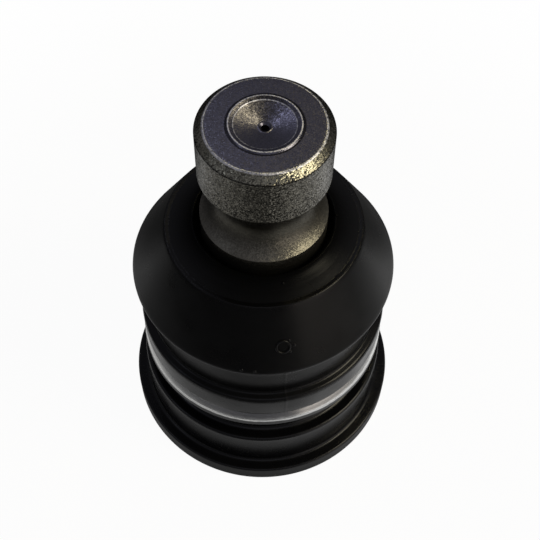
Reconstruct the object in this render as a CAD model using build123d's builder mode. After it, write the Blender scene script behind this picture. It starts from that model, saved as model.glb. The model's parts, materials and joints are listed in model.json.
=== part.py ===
from build123d import *
import os
from math import asin, cos, degrees, radians, sin, sqrt

os.makedirs("parts", exist_ok=True)

# Press-in suspension ball joint with a pinch-bolt stud. Millimetres, +Z up along the stud.
# The origin is the centre of the flange's lower face. Every piece is turned about Z.

# ---- Driving sizes -------------------------------------------------------------------------
# Ball and bearings, from which the housing's radii are built outwards
ball_radius = 15.0
ball_flat_depth = 1.25         # taken off the bottom of the ball
ball_clearance = 0.05          # grease film between ball and bearings
bearing_wall = 1.70
press_clearance = 0.05         # between a piece and the bore that it is pressed into
turning_clearance = 0.08       # round the lower bearing, which is free to turn
bearing_split_gap = 0.50       # between upper and lower bearing
upper_bearing_skirt = 1.0      # how far the upper bearing reaches below the ball's centre
bearing_floor = 1.60
ball_flat_gap = 0.30            # between the ball's flat and the cup's floor
bearing_grease_hole_radius = 5.0
grease_slot_count = 6
grease_slot_width = 1.6
grease_slot_top_margin = 4.2   # solid cap height left between slot and skirt

# Swing of the stud
swing_limit = 20.0             # degrees to each side
swing_margin = 1.5             # degrees left between stud neck and bearing at full swing

# Housing, outside, from the flange up
housing_wall = 4.5             # round the bearing, at the bottom of the relief groove
flange_thickness = 4.0
flange_overhang = 2.5
groove_depth = 2.7
groove_width = 5.7
shoulder_overhang = 2.2
shoulder_thickness = 3.6
shoulder_bevel_height = 1.2
shoulder_bevel_width = 0.8
neck_wall = 3.8                # where the boot's base ring is pressed on
neck_length = 5.8
neck_above_centre = 8.8        # top of that neck above the ball's centre
collar_wall = 2.1
mouth_lip = 0.4
mouth_flare = 0.6

# Underside of the housing
lip_thickness = 1.0            # rim rolled over the cover plate
lip_width = 1.9
crimp_groove_width = 1.0
crimp_groove_depth = 0.5
crimp_groove_inset = 1.5       # beyond the cover plate's edge

# Cover plate, seal and spring
cover_thickness = 1.8
cover_dimple_radius = 6.0
cover_dimple_height = 0.6
cover_ledge = 1.1              # ledge that the cover plate is rolled against
seal_pocket_width = 1.2
seal_pocket_height = 1.15
seal_section_radius = 0.5
spring_thickness = 0.9
spring_cone_height = 0.6
spring_inner_radius = 8.0
spring_side_clearance = 1.2
spring_seat_gap = 0.05

# Stud
stud_radius = 11.0
stud_neck_radius = 7.5
stud_neck_length = 16.5        # from the ball's centre
stud_taper_length = 9.5
stud_shank_length = 10.7       # straight part between taper and pinch-bolt groove
pinch_groove_radius = 6.5      # round a 12 mm bolt
pinch_groove_depth = 3.0
head_length = 9.35
head_bevel_width = 1.4
head_bevel_height = 1.2
head_bead_radius = 5.65
head_bead_half_width = 0.38
head_bead_height = 0.24
head_dish_radius = 4.15
head_dish_depth = 0.55
drill_lip_radius = 1.35
drill_radius = 0.66
drill_depth = 1.5

# Dust boot and its two steel rings
boot_wall = 2.0
skirt_wall = 1.55
skirt_height = 6.5
skirt_taper = 1.4
skirt_edge_inset = 0.4
seat_gap = 0.15                # rubber drawn just clear of the steel round it
base_ring_wall = 1.05
waist_radial_gap = 0.7         # between the housing's collar and the boot
waist_bulge = 0.25
waist_bulge_place = 0.3        # of the waist's height
waist_height = 8.4
bulge_overhang = 2.35          # bulge beyond the waist
bulge_rise = 3.4
bulge_edge_height = 1.1
bulge_edge_inset = 0.4
web_inset = 0.8                # of the wall's inner corner behind the crease
web_drop = 0.2
crease_radius = 17.1
crease_drop = 2.1              # crease below the lip round the stud
crease_bead = 0.35
dish_sag = 0.62                # how far down the drop the middle of the dished top lies
lip_radial_width = 1.2
lip_below_groove = 2.0         # boot lip below the pinch-bolt groove
lip_recess_depth = 2.1
boot_neck_length = 8.1
neck_bead_height = 1.0
neck_bead_width = 1.0
neck_rubber = 1.4
neck_ring_wall = 1.25

# Roundings: turned edges and roots of the housing, then moulded corners of the boot
edge_round = 0.5
root_round = 0.8
groove_round = 1.0
fine_round = 0.2
plate_round = 0.5              # bends of the pressed cover plate
stud_waist_round = 8.0         # where the neck runs into the taper
stud_taper_round = 5.0
rubber_edge_round = 0.4
rubber_corner_round = 1.0
waist_round = 2.5
dish_round = 3.0

# ---- Radii, built outwards from the ball ---------------------------------------------------
seat_radius = ball_radius + ball_clearance
bearing_radius = seat_radius + bearing_wall
bore_radius = bearing_radius + press_clearance
groove_floor_radius = bore_radius + housing_wall
barrel_radius = groove_floor_radius + groove_depth
flange_radius = barrel_radius + flange_overhang
shoulder_radius = groove_floor_radius + shoulder_overhang
neck_radius = bore_radius + neck_wall
collar_radius = bore_radius + collar_wall
pocket_radius = bore_radius + seal_pocket_width
cover_bore_radius = pocket_radius + cover_ledge
lip_radius = cover_bore_radius - lip_width

# ---- Heights, built up from the flange's lower face ----------------------------------------
ball_flat_below_centre = ball_radius - ball_flat_depth
cover_top = lip_thickness + cover_thickness
spring_top = cover_top + spring_cone_height + spring_thickness
cup_bottom = spring_top + spring_seat_gap
cup_floor = cup_bottom + bearing_floor
ball_centre = cup_floor + ball_flat_gap + ball_flat_below_centre
neck_top = ball_centre + neck_above_centre
shoulder_top = neck_top - neck_length
groove_top = shoulder_top - shoulder_thickness
barrel_top = groove_top - groove_width

# The mouth is as wide as the stud's neck needs at full swing.
neck_angle = degrees(asin(stud_neck_radius / ball_radius))
bearing_mouth_angle = neck_angle + swing_limit + swing_margin
mouth_angle = bearing_mouth_angle - 3.0
mouth_radius = bore_radius * sin(radians(mouth_angle))
mouth_height = ball_centre + bore_radius * cos(radians(mouth_angle))
collar_top = mouth_height + mouth_lip

stud_neck_top = ball_centre + stud_neck_length
stud_taper_top = stud_neck_top + stud_taper_length
pinch_groove_length = 2 * sqrt(pinch_groove_radius**2 - (pinch_groove_radius - pinch_groove_depth)**2)
pinch_groove_bottom = stud_taper_top + stud_shank_length
head_bottom = pinch_groove_bottom + pinch_groove_length
head_top = head_bottom + head_length
stud_top = head_top + head_bevel_height


def corners(*rows):
    """Split (radius, height, rounding) rows into points and corner roundings."""
    return [row[:2] for row in rows], [row[2] for row in rows]


# ---- Housing: flange, press-fit barrel, relief groove, shoulder, boot neck and collar -------
housing_outline, housing_rounding = corners(
    (0, 0, 0),
    (flange_radius, 0, edge_round),
    (flange_radius, flange_thickness, edge_round),
    (barrel_radius, flange_thickness, root_round),
    (barrel_radius, barrel_top, edge_round),
    (groove_floor_radius, barrel_top, groove_round),
    (groove_floor_radius, groove_top, groove_round),
    (shoulder_radius, groove_top, edge_round),
    (shoulder_radius, shoulder_top - shoulder_bevel_height, fine_round),
    (shoulder_radius - shoulder_bevel_width, shoulder_top, 0),
    (neck_radius, shoulder_top, 0),
    (neck_radius, neck_top, edge_round),
    (collar_radius, neck_top, 0),
    (collar_radius, collar_top, edge_round),
    (0, collar_top, 0),
)
with BuildPart() as housing:
    with BuildSketch(Plane.XZ):
        with BuildLine():
            FilletPolyline(*housing_outline, radius=housing_rounding, close=True)
        make_face()
    revolve(axis=Axis.Z)
    # Bearing cavity: a straight bore up to the ball's centre and a sphere above it
    with Locations((0, 0, ball_centre)):
        Sphere(bore_radius, mode=Mode.SUBTRACT)
    with BuildSketch(Plane.XZ):
        with BuildLine():
            Polyline(
                (0, 0),
                (lip_radius, 0),
                (lip_radius, lip_thickness),
                (cover_bore_radius, lip_thickness),
                (cover_bore_radius, cover_top),
                (pocket_radius, cover_top),
                (pocket_radius, cover_top + seal_pocket_height),
                (bore_radius, cover_top + seal_pocket_height),
                (bore_radius, ball_centre),
                (0, ball_centre),
                close=True,
            )
        make_face()
    revolve(axis=Axis.Z, mode=Mode.SUBTRACT)
    # Mouth round the stud's neck, flared outwards
    with BuildSketch(Plane.XZ):
        with BuildLine():
            Polyline(
                (0, ball_centre),
                (mouth_radius, ball_centre),
                (mouth_radius, mouth_height),
                (mouth_radius + mouth_flare, collar_top),
                (0, collar_top),
                close=True,
            )
        make_face()
    revolve(axis=Axis.Z, mode=Mode.SUBTRACT)
    # Groove left by the rolling tool round the crimped lip
    crimp_groove_radius = cover_bore_radius + crimp_groove_inset
    with BuildSketch(Plane.XY):
        Circle(crimp_groove_radius + crimp_groove_width)
        Circle(crimp_groove_radius, mode=Mode.SUBTRACT)
    extrude(amount=crimp_groove_depth, mode=Mode.SUBTRACT)
housing.part.label = "housing"
export_step(housing.part, "parts/housing.step")

# ---- Upper bearing: a slotted acetal shell that holds the ball down -------------------------
bearing_mouth_radius = bearing_radius * sin(radians(bearing_mouth_angle))
bearing_mouth_height = ball_centre + bearing_radius * cos(radians(bearing_mouth_angle))
with BuildPart() as upper_bearing:
    with Locations((0, 0, ball_centre)):
        Sphere(bearing_radius)
    with Locations((0, 0, ball_centre - upper_bearing_skirt)):
        Cylinder(bearing_radius, upper_bearing_skirt, align=(Align.CENTER, Align.CENTER, Align.MIN))
    split(bisect_by=Plane.XY.offset(ball_centre - upper_bearing_skirt), keep=Keep.TOP)
    with Locations((0, 0, ball_centre)):
        Sphere(seat_radius, mode=Mode.SUBTRACT)
    with Locations((0, 0, ball_centre)):
        Cylinder(seat_radius, 2 * upper_bearing_skirt, mode=Mode.SUBTRACT)
    # Conical mouth, square to the shell
    with BuildSketch(Plane.XZ):
        with BuildLine():
            Polyline(
                (0, ball_centre),
                (2 * bearing_mouth_radius, ball_centre + 2 * (bearing_mouth_height - ball_centre)),
                (0, ball_centre + 2 * (bearing_mouth_height - ball_centre)),
                close=True,
            )
        make_face()
    revolve(axis=Axis.Z, mode=Mode.SUBTRACT)
    # Grease slots, open at the top, that also let the shell close round the ball
    slot_bottom = ball_centre + grease_slot_top_margin
    with PolarLocations(bearing_radius, grease_slot_count):
        with Locations((0, 0, slot_bottom)):
            Box(
                2 * bearing_radius,
                grease_slot_width,
                bearing_radius,
                align=(Align.CENTER, Align.CENTER, Align.MIN),
                mode=Mode.SUBTRACT,
            )
upper_bearing.part.label = "upper_bearing"
export_step(upper_bearing.part, "parts/upper_bearing.step")

# ---- Lower bearing: the cup that the spring presses up against the ball --------------------
cup_radius = bore_radius - turning_clearance
cup_top = ball_centre - upper_bearing_skirt - bearing_split_gap
with BuildPart() as lower_bearing:
    with BuildSketch(Plane.XZ):
        with BuildLine():
            FilletPolyline(
                (0, cup_bottom),
                (cup_radius, cup_bottom),
                (cup_radius, cup_top),
                (0, cup_top),
                radius=[0, root_round, 0, 0],
                close=True,
            )
        make_face()
    revolve(axis=Axis.Z)
    with Locations((0, 0, ball_centre)):
        Sphere(seat_radius, mode=Mode.SUBTRACT)
    with Locations((0, 0, cup_floor)):
        Cylinder(
            sqrt(seat_radius**2 - (ball_centre - cup_floor) ** 2) + ball_clearance,
            bearing_wall,
            align=(Align.CENTER, Align.CENTER, Align.MIN),
            mode=Mode.SUBTRACT,
        )
    with Locations((0, 0, cup_bottom)):
        Cylinder(bearing_grease_hole_radius, 2 * bearing_floor, mode=Mode.SUBTRACT)
lower_bearing.part.label = "lower_bearing"
export_step(lower_bearing.part, "parts/lower_bearing.step")

# ---- Preload spring: one disc spring between cover plate and lower bearing ------------------
spring_radius = bore_radius - spring_side_clearance
with BuildPart() as preload_spring:
    with BuildSketch(Plane.XZ):
        with BuildLine():
            Polyline(
                (spring_radius, cover_top),
                (spring_radius, cover_top + spring_thickness),
                (spring_inner_radius, spring_top),
                (spring_inner_radius, spring_top - spring_thickness),
                close=True,
            )
        make_face()
    revolve(axis=Axis.Z)
preload_spring.part.label = "preload_spring"
export_step(preload_spring.part, "parts/preload_spring.step")

# ---- Cover plate: pressed disc with a raised centre ----------------------------------------
cover_radius = cover_bore_radius - press_clearance
cover_outline, cover_rounding = corners(
    (0, lip_thickness + cover_dimple_height, 0),
    (cover_dimple_radius - cover_dimple_height, lip_thickness + cover_dimple_height, plate_round),
    (cover_dimple_radius, lip_thickness, plate_round),
    (cover_radius, lip_thickness, 0),
    (cover_radius, cover_top, 0),
    (cover_dimple_radius, cover_top, 0),
    (cover_dimple_radius - cover_dimple_height, cover_top + cover_dimple_height, 0),
    (0, cover_top + cover_dimple_height, 0),
)
with BuildPart() as cover_plate:
    with BuildSketch(Plane.XZ):
        with BuildLine():
            FilletPolyline(*cover_outline, radius=cover_rounding, close=True)
        make_face()
    revolve(axis=Axis.Z)
cover_plate.part.label = "cover_plate"
export_step(cover_plate.part, "parts/cover_plate.step")

# ---- Cover seal: O-ring in the pocket above the cover plate ---------------------------------
seal_centre_radius = (bore_radius + pocket_radius) / 2
with BuildPart() as cover_seal:
    with BuildSketch(Plane.XZ):
        with Locations((seal_centre_radius, cover_top + seal_pocket_height / 2)):
            Circle(seal_section_radius)
    revolve(axis=Axis.Z)
cover_seal.part.label = "cover_seal"
export_step(cover_seal.part, "parts/cover_seal.step")

# ---- Ball stud: ball, neck, taper, shank, pinch-bolt groove and head ------------------------
face_radius = stud_radius - head_bevel_width
bead_outer = head_bead_radius + head_bead_half_width
bead_inner = head_bead_radius - head_bead_half_width
groove_middle = (pinch_groove_bottom + head_bottom) / 2
drill_bottom = stud_top - head_dish_depth - drill_depth
with BuildPart() as ball_stud:
    with BuildSketch(Plane.XZ):
        with BuildLine():
            shank = FilletPolyline(
                (0, ball_centre),
                (stud_neck_radius, ball_centre),
                (stud_neck_radius, stud_neck_top),
                (stud_radius, stud_taper_top),
                (stud_radius, pinch_groove_bottom),
                radius=[0, stud_waist_round, stud_taper_round],
            )
            groove = ThreePointArc(
                (stud_radius, pinch_groove_bottom),
                (stud_radius - pinch_groove_depth, groove_middle),
                (stud_radius, head_bottom),
            )
            head = FilletPolyline(
                (stud_radius, head_bottom),
                (stud_radius, head_top),
                (face_radius, stud_top),
                (bead_outer, stud_top),
                radius=[fine_round, fine_round],
            )
            bead = ThreePointArc(
                (bead_outer, stud_top),
                (head_bead_radius, stud_top + head_bead_height),
                (bead_inner, stud_top),
            )
            centre = Polyline(
                (bead_inner, stud_top),
                (head_dish_radius, stud_top),
                (drill_lip_radius, stud_top - head_dish_depth),
                (drill_radius, stud_top - head_dish_depth - (drill_lip_radius - drill_radius)),
                (drill_radius, drill_bottom),
                (0, drill_bottom - drill_radius / 2),
                (0, ball_centre),
            )
        make_face()
    revolve(axis=Axis.Z)
    with Locations((0, 0, ball_centre)):
        Sphere(ball_radius)
    split(bisect_by=Plane.XY.offset(ball_centre - ball_flat_below_centre), keep=Keep.TOP)
ball_stud.part.label = "ball_stud"
export_step(ball_stud.part, "parts/ball_stud.step")

# ---- Dust boot: skirt on the shoulder, waist, bulge, cone, dished top and neck --------------
base_ring_inner = neck_radius + press_clearance
base_ring_outer = base_ring_inner + base_ring_wall
skirt_inner = base_ring_outer + press_clearance
skirt_radius = skirt_inner + skirt_wall
skirt_bottom = shoulder_top + seat_gap
skirt_top = skirt_bottom + skirt_height
waist_inner = collar_radius + waist_radial_gap
waist_radius = waist_inner + boot_wall
waist_top = skirt_top + waist_height
bulge_radius = waist_radius + bulge_overhang
bulge_height = waist_top + bulge_rise
boot_lip_radius = stud_radius + lip_radial_width
boot_lip_top = pinch_groove_bottom - lip_below_groove
crease_height = boot_lip_top - crease_drop
boot_bore = stud_radius + seat_gap
boot_neck_bottom = boot_lip_top - boot_neck_length
boot_neck_radius = boot_bore + neck_rubber
neck_bead_top = boot_neck_bottom + neck_bead_height
web_bottom = crease_height - boot_wall
dish_middle_radius = (boot_lip_radius + crease_radius) / 2
dish_middle_height = boot_lip_top - dish_sag * crease_drop
step_height = neck_top + 2 * seat_gap
boot_outline, boot_rounding = corners(
    (skirt_inner, skirt_bottom, 0),
    (skirt_radius - skirt_edge_inset, skirt_bottom, fine_round),
    (skirt_radius, skirt_bottom + skirt_taper, rubber_corner_round),
    (skirt_radius, skirt_top, rubber_edge_round),
    (waist_radius, skirt_top, rubber_edge_round),
    (waist_radius + waist_bulge, skirt_top + waist_bulge_place * waist_height, waist_round),
    (waist_radius - waist_bulge, waist_top, rubber_corner_round),
    (bulge_radius - bulge_edge_inset, bulge_height - bulge_edge_height, rubber_edge_round),
    (bulge_radius, bulge_height, rubber_corner_round),
    (crease_radius, crease_height, fine_round),
    (crease_radius - 2 * crease_bead, crease_height - crease_bead / 4, 0),
    (dish_middle_radius, dish_middle_height, dish_round),
    (boot_lip_radius, boot_lip_top, rubber_edge_round),
    (boot_bore, boot_lip_top - lip_recess_depth, 0),
    (boot_bore, boot_neck_bottom, 0),
    (boot_neck_radius + neck_bead_width, boot_neck_bottom, 0),
    (boot_neck_radius + neck_bead_width, neck_bead_top, 0),
    (boot_neck_radius, neck_bead_top, 0),
    (boot_neck_radius, web_bottom + crease_bead, 0),
    (crease_radius - web_inset, web_bottom - web_drop, rubber_corner_round),
    (bulge_radius - boot_wall, bulge_height - 2 * web_drop, rubber_corner_round),
    (waist_inner, waist_top - 2 * web_drop, rubber_corner_round),
    (waist_inner, step_height, 0),
    (skirt_inner, step_height, 0),
)
with BuildPart() as dust_boot:
    with BuildSketch(Plane.XZ):
        with BuildLine():
            FilletPolyline(*boot_outline, radius=boot_rounding, close=True)
        make_face()
    revolve(axis=Axis.Z)
dust_boot.part.label = "dust_boot"
export_step(dust_boot.part, "parts/dust_boot.step")

# ---- Base ring: steel band inside the boot's skirt, pressed over the housing's neck ---------
with BuildPart() as boot_base_ring:
    with BuildSketch(Plane.XZ):
        with BuildLine():
            Polyline(
                (base_ring_inner, shoulder_top),
                (base_ring_outer, shoulder_top),
                (base_ring_outer, neck_top),
                (base_ring_inner, neck_top),
                close=True,
            )
        make_face()
    revolve(axis=Axis.Z)
boot_base_ring.part.label = "boot_base_ring"
export_step(boot_base_ring.part, "parts/boot_base_ring.step")

# ---- Neck ring: steel band round the boot's neck, which holds the lip on the stud ------------
neck_ring_inner = boot_neck_radius + seat_gap
neck_ring_bottom = neck_bead_top + seat_gap
neck_ring_top = web_bottom - seat_gap
with BuildPart() as boot_neck_ring:
    with BuildSketch(Plane.XZ):
        with BuildLine():
            Polyline(
                (neck_ring_inner, neck_ring_bottom),
                (neck_ring_inner + neck_ring_wall, neck_ring_bottom),
                (neck_ring_inner + neck_ring_wall, neck_ring_top),
                (neck_ring_inner, neck_ring_top),
                close=True,
            )
        make_face()
    revolve(axis=Axis.Z)
boot_neck_ring.part.label = "boot_neck_ring"
export_step(boot_neck_ring.part, "parts/boot_neck_ring.step")
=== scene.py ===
# Press-in suspension ball joint: blasted steel stud, moulded rubber boot, electrocoated housing.
import json
import math
import bpy
from mathutils import Matrix, Vector


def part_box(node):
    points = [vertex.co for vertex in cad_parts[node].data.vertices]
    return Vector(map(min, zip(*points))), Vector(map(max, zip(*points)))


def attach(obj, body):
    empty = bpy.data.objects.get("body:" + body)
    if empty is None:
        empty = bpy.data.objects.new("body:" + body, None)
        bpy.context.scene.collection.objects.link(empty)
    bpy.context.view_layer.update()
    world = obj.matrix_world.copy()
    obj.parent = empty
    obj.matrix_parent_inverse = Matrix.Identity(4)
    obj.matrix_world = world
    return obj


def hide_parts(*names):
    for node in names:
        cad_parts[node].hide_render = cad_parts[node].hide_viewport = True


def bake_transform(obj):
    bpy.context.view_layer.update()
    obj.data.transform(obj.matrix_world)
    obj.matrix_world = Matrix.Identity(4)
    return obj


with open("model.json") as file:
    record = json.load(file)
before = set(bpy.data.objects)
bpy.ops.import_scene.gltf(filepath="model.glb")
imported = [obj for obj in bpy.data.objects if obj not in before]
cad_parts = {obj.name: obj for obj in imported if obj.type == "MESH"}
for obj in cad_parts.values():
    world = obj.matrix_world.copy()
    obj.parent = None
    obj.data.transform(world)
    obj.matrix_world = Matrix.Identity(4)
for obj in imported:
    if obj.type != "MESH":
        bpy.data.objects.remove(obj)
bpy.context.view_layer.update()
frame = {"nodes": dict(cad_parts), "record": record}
mm = 0.001
sharpEdge = 34    # degrees between two faces from which their edge shows


def boxOf(node):
    low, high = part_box(node)
    return low / mm, high / mm


housingHigh = boxOf("housing")[1]
studLow, studHigh = boxOf("ball_stud")
bootLow, bootHigh = boxOf("dust_boot")
coverLow, coverHigh = boxOf("cover_plate")
joints = {joint["name"]: joint for joint in frame["record"]["behaviour"]["joints"]}
swingPivot = joints["swing"]["pos_m"][2] / mm


def roundCorner(before, corner, after, radius, steps=6):
    # Tangent arc of the given radius between two straight runs, as a few points. It takes under
    # half of each run.
    a = Vector(before) - Vector(corner)
    b = Vector(after) - Vector(corner)
    turn = a.angle(b)
    if radius <= 0 or turn > math.pi - 0.01:
        return [tuple(corner)]
    reach = min(radius / math.tan(turn / 2), 0.49 * a.length, 0.49 * b.length)
    radius = reach * math.tan(turn / 2)
    start = Vector(corner) + a.normalized() * reach
    end = Vector(corner) + b.normalized() * reach
    centre = Vector(corner) + (a.normalized() + b.normalized()).normalized() * radius / math.sin(turn / 2)
    points = []
    for i in range(steps + 1):
        t = i / steps
        arm = (start - centre).lerp(end - centre, t)
        points.append(tuple(centre + arm.normalized() * radius))
    return points


def turnedProfile(rows, run=0.8):
    # Rows are (radius, height, rounding); long straight runs are divided so that they can be shaped
    corners = [(r[0], r[1]) for r in rows]
    path = []
    for i, row in enumerate(rows):
        if 0 < i < len(rows) - 1 and row[2] > 0:
            path += roundCorner(corners[i - 1], corners[i], corners[i + 1], row[2])
        else:
            path.append(corners[i])
    fine = [path[0]]
    for point in path[1:]:
        gap = math.dist(fine[-1], point)
        parts = max(1, math.ceil(gap / run))
        start = fine[-1]
        for k in range(1, parts + 1):
            fine.append(tuple(start[j] + (point[j] - start[j]) * k / parts for j in (0, 1)))
    return fine


def evenAngles(count, fineAt=(), fineWidth=0.03, fineCount=10):
    angles = {round(2 * math.pi * i / count, 6) for i in range(count)}
    for centre in fineAt:
        for k in range(-fineCount, fineCount + 1):
            angles.add(round((centre + fineWidth * k / fineCount) % (2 * math.pi), 6))
    return sorted(angles)


def addObject(name, points, faces):
    mesh = bpy.data.meshes.new(name)
    mesh.from_pydata(points, [], faces)
    mesh.validate()
    mesh.update()
    piece = bpy.data.objects.new(name, mesh)
    bpy.context.scene.collection.objects.link(piece)
    return piece


def lathe(name, profile, angles, shape=None, closed=False):
    # Turns a profile about Z; shape(radius, height, angle) may move a point a little
    points, faces = [], []
    count = len(angles)
    rings = []
    for radius, height in profile:
        if radius < 1e-6:
            rings.append([len(points)] * count)
            points.append((0, 0, height * mm))
            continue
        rings.append(list(range(len(points), len(points) + count)))
        for angle in angles:
            r, z = shape(radius, height, angle) if shape else (radius, height)
            points.append((r * math.cos(angle) * mm, r * math.sin(angle) * mm, z * mm))
    pairs = list(zip(rings, rings[1:] + rings[:1] if closed else rings[1:]))
    for lower, upper in pairs:
        for i in range(count):
            k = (i + 1) % count
            face = list(dict.fromkeys([lower[i], lower[k], upper[k], upper[i]]))
            if len(face) > 2:
                faces.append(face)
    piece = addObject(name, points, faces)
    piece.data.shade_smooth()
    piece.data.set_sharp_from_angle(angle=math.radians(sharpEdge))
    return piece


# Housing: flange, press barrel, relief groove, shoulder with a bare bevel, boot neck and collar
housingShape = {
    "flangeRadius": housingHigh.x,
    "flangeThickness": 4.0,
    "flangeOverhang": 2.5,
    "barrelTop": 13.7,
    "grooveDepth": 2.7,
    "grooveTop": 19.4,
    "shoulderOverhang": 2.2,
    "shoulderTop": 23.0,
    "bevelHeight": 1.2,
    "bevelWidth": 0.8,
    "neckRadius": 20.6,
    "neckTop": 28.8,
    "collarRadius": 18.9,
    "collarTop": housingHigh.z,
    "mouthRadius": 12.6,
    "mouthFlare": 0.6,
    "mouthLip": 0.4,
    "boreRadius": 16.8,
    "domeSteps": 12,    # along the round inside that holds the upper bearing
    "pocketRadius": 18.0,    # of the seal under the bearing
    "pocketTop": 3.95,
    "coverRadius": coverHigh.x + 0.05,    # with the cover plate's fit
    "coverTop": 2.8,
    "lipRadius": 17.2,    # of the rim rolled over the cover plate
    "lipThickness": coverLow.z + 0.02,
    "rollFrom": 1.45,    # the rolling tool's ring, measured outwards from the cover
    "rollTo": 2.45,
    "rollSlope": 0.2,
    "rollDepth": 0.5,
}


def makeHousing():
    s = housingShape
    barrel = s["flangeRadius"] - s["flangeOverhang"]
    groove = barrel - s["grooveDepth"]
    shoulder = groove + s["shoulderOverhang"]
    rollFrom = s["coverRadius"] + s["rollFrom"]
    rollTo = s["coverRadius"] + s["rollTo"]
    mouthAngle = math.acos(s["mouthRadius"] / s["boreRadius"])
    dome = []
    for i in range(s["domeSteps"] + 1):
        a = mouthAngle * (1 - i / s["domeSteps"])
        dome.append((s["boreRadius"] * math.cos(a), swingPivot + s["boreRadius"] * math.sin(a), 0))
    outline = turnedProfile([
        (s["lipRadius"], s["lipThickness"], 0.2),
        (s["lipRadius"], 0.02, 0.4),
        (rollFrom, 0, 0.1),
        (rollFrom + s["rollSlope"], s["rollDepth"], 0.15),
        (rollTo - s["rollSlope"], s["rollDepth"], 0.15),
        (rollTo, 0, 0.1),
        (s["flangeRadius"], 0, 0.5),
        (s["flangeRadius"], s["flangeThickness"], 0.5),
        (barrel, s["flangeThickness"], 0.8),
        (barrel, s["barrelTop"], 0.6),
        (groove, s["barrelTop"], 1.0),
        (groove, s["grooveTop"], 1.0),
        (shoulder, s["grooveTop"], 0.5),
        (shoulder, s["shoulderTop"] - s["bevelHeight"], 0.6),
        (shoulder - s["bevelWidth"], s["shoulderTop"], 0.2),
        (s["neckRadius"], s["shoulderTop"], 0.2),
        (s["neckRadius"], s["neckTop"], 0.4),
        (s["collarRadius"], s["neckTop"], 0.4),
        (s["collarRadius"], s["collarTop"], 0.6),
        (s["mouthRadius"] + s["mouthFlare"], s["collarTop"], 0.2),
        (s["mouthRadius"], s["collarTop"] - s["mouthLip"], 0),
        *dome,
        (s["boreRadius"], s["pocketTop"], 0),
        (s["pocketRadius"], s["pocketTop"], 0),
        (s["pocketRadius"], s["coverTop"], 0),
        (s["coverRadius"], s["coverTop"], 0),
        (s["coverRadius"], s["lipThickness"], 0),
    ])
    piece = lathe("housingBody", outline, evenAngles(360), closed=True)
    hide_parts("housing")
    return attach(piece, "housing_assembly")


# Stud: the head, groove and shank that show, and the taper and ball inside the boot
studShape = {
    "ballRadius": 15.0,
    "ballFlat": studLow.z,
    "ballCentre": swingPivot,
    "neckRadius": 7.5,
    "neckTop": 36.5,
    "taperTop": 46.0,
    "radius": 11.0,
    "grooveBottom": 56.7,
    "grooveDepth": 3.0,
    "headBottom": 67.654,
    "headEdge": (0.02, 0.2),    # width and height of its lower edge
    "bevelWidth": 1.4,
    "bevelHeight": 1.2,
    "beadOuter": 6.05,
    "beadCrest": (5.80, 5.60),    # its flat top, from outside to inside
    "beadFoot": (5.06, 0.08),    # radius and height above the face
    "beadInner": 4.9,
    "dishLip": 0.04,
    "beadHeight": 0.24,
    "dishDepth": 0.72,
    "drillLip": 1.0,
    "drillRadius": 0.62,
    "drillChamfer": 0.25,
    "drillDepth": 1.5,
    "drillTip": 0.3,
}


def makeStud():
    s = studShape
    top = studHigh.z - s["beadHeight"]
    headTop = top - s["bevelHeight"]
    dish = top - s["dishDepth"]
    ballSteps, grooveSteps = 40, 32
    outline = [(0, s["ballFlat"])]
    flat = math.acos((s["ballCentre"] - s["ballFlat"]) / s["ballRadius"])
    neck = math.pi - math.asin(s["neckRadius"] / s["ballRadius"])
    for i in range(ballSteps + 1):
        a = flat + (neck - flat) * i / ballSteps
        outline.append((s["ballRadius"] * math.sin(a), s["ballCentre"] - s["ballRadius"] * math.cos(a)))
    shank = turnedProfile([
        (s["neckRadius"], outline[-1][1], 0),
        (s["neckRadius"], s["neckTop"], 8.0),
        (s["radius"], s["taperTop"], 5.0),
        (s["radius"], s["grooveBottom"], 0),
    ])
    outline += shank[1:]
    half = (s["headBottom"] - s["grooveBottom"]) / 2
    grooveRadius = (half ** 2 + s["grooveDepth"] ** 2) / (2 * s["grooveDepth"])
    sweep = math.asin(half / grooveRadius)
    centreRadius = s["radius"] - s["grooveDepth"] + grooveRadius
    for i in range(1, grooveSteps + 1):
        a = -sweep + 2 * sweep * i / grooveSteps
        outline.append((centreRadius - grooveRadius * math.cos(a),
                        s["grooveBottom"] + half + grooveRadius * math.sin(a)))
    face = s["radius"] - s["bevelWidth"]
    edgeWidth, edgeHeight = s["headEdge"]
    head = turnedProfile([
        (s["radius"] - edgeWidth, s["headBottom"], 0),
        (s["radius"], s["headBottom"] + edgeHeight, 0.15),
        (s["radius"], headTop, 0.28),
        (face, top, 0.35),
        (s["beadOuter"], top, 0.05),
        (s["beadCrest"][0], studHigh.z, 0.12),
        (s["beadCrest"][1], studHigh.z, 0.2),
        (s["beadFoot"][0], top + s["beadFoot"][1], 0.2),
        (s["beadInner"], top - s["dishLip"], 0.08),
        (s["drillLip"] + 0.2, dish, 0.4),
        (s["drillLip"], dish + s["dishLip"], 0.08),
        (s["drillRadius"], dish - s["drillChamfer"], 0.1),
        (s["drillRadius"] * 0.9, dish - s["drillDepth"], 0),
        (0, dish - s["drillDepth"] - s["drillTip"], 0),
    ], run=0.7)
    outline += head
    piece = lathe("ballStud", outline, evenAngles(360))
    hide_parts("ball_stud")
    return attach(piece, "stud")


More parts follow.
